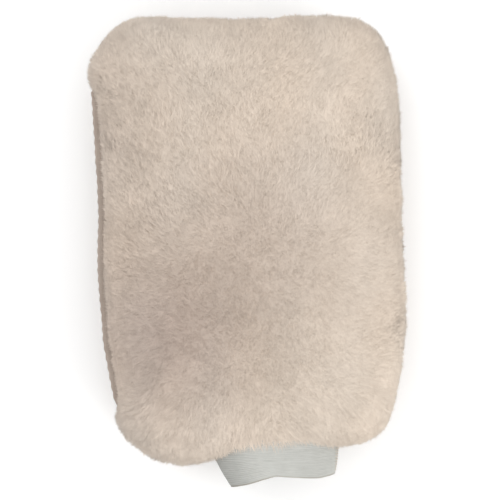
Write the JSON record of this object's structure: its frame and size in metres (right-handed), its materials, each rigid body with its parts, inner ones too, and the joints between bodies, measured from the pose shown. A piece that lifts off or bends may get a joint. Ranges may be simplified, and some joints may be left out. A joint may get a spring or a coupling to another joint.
{
  "type": "wash mitt",
  "caption": "Thumbless car-washing mitt: dense short beige pile on both faces over a lined pocket, with a ribbed elastic webbing cuff at the wrist opening.",
  "frame": {"origin": "on the face it rests on, under the middle of the mitt's outline with the cuff", "axes": "+X to the mitt's right seen from the front panel, +Y along the mitt to the finger end, +Z out of the front panel; the cuff is at -Y"},
  "size_m": [0.1902, 0.2848, 0.06],
  "materials": {
    "pile": "dense short cut pile, soft and matt",
    "backing": "knitted ground cloth, matt",
    "lining": "plain woven lining, matt",
    "thread": "spun polyester thread",
    "webbing": "ribbed elastic webbing, matt",
    "elastic": "extruded rubber thread",
    "binding": "folded cotton tape"
  },
  "bodies": {
    "palm": {"front_pile_palm": "pile", "back_pile_palm": "pile", "front_backing_palm": "backing", "back_backing_palm": "backing", "front_lining_palm": "lining", "back_lining_palm": "lining", "shell_seam_palm": "thread", "lining_seam_palm": "thread", "opening_binding": "binding", "cuff_sewn_edge": "webbing", "cuff_rubber_sewn_edge": "elastic", "cuff_attach_seam": "thread"},
    "middle": {"front_pile_middle": "pile", "back_pile_middle": "pile", "front_backing_middle": "backing", "back_backing_middle": "backing", "front_lining_middle": "lining", "back_lining_middle": "lining", "shell_seam_middle": "thread", "lining_seam_middle": "thread"},
    "fingers": {"front_pile_fingers": "pile", "back_pile_fingers": "pile", "front_backing_fingers": "backing", "back_backing_fingers": "backing", "front_lining_fingers": "lining", "back_lining_fingers": "lining", "shell_seam_fingers": "thread", "lining_seam_fingers": "thread", "lining_tacks": "thread"},
    "cuff": {"cuff_side_folds": "webbing", "cuff_rubber_side_folds": "elastic", "cuff_join_seam": "thread"},
    "cuff_front": {"cuff_front_wall": "webbing", "cuff_rubber_front_wall": "elastic"},
    "cuff_back": {"cuff_back_wall": "webbing", "cuff_rubber_back_wall": "elastic"}
  },
  "joints": [
    {"name": "knuckle_bend", "type": "hinge", "parent": "palm", "child": "middle", "pos_m": [0, -0.025, 0.03], "axis": [1, 0, 0], "range_deg": [0, 35]},
    {"name": "finger_bend", "type": "hinge", "parent": "middle", "child": "fingers", "pos_m": [0, 0.035, 0.03], "axis": [1, 0, 0], "range_deg": [0, 35]},
    {"name": "cuff_flex", "type": "hinge", "parent": "palm", "child": "cuff", "pos_m": [0, -0.117, 0.03], "axis": [-1, 0, 0], "range_deg": [-15, 15]},
    {"name": "cuff_open_front", "type": "hinge", "parent": "cuff", "child": "cuff_front", "pos_m": [0, -0.1216, 0.0453], "axis": [-1, 0, 0], "range_deg": [0, 22]},
    {"name": "cuff_open_back", "type": "hinge", "parent": "cuff", "child": "cuff_back", "pos_m": [0, -0.1216, 0.0147], "axis": [1, 0, 0], "range_deg": [0, 22]}
  ],
  "couplings": [
    {"joint": "cuff_open_back", "follows": "cuff_open_front", "ratio": 1}
  ]
}
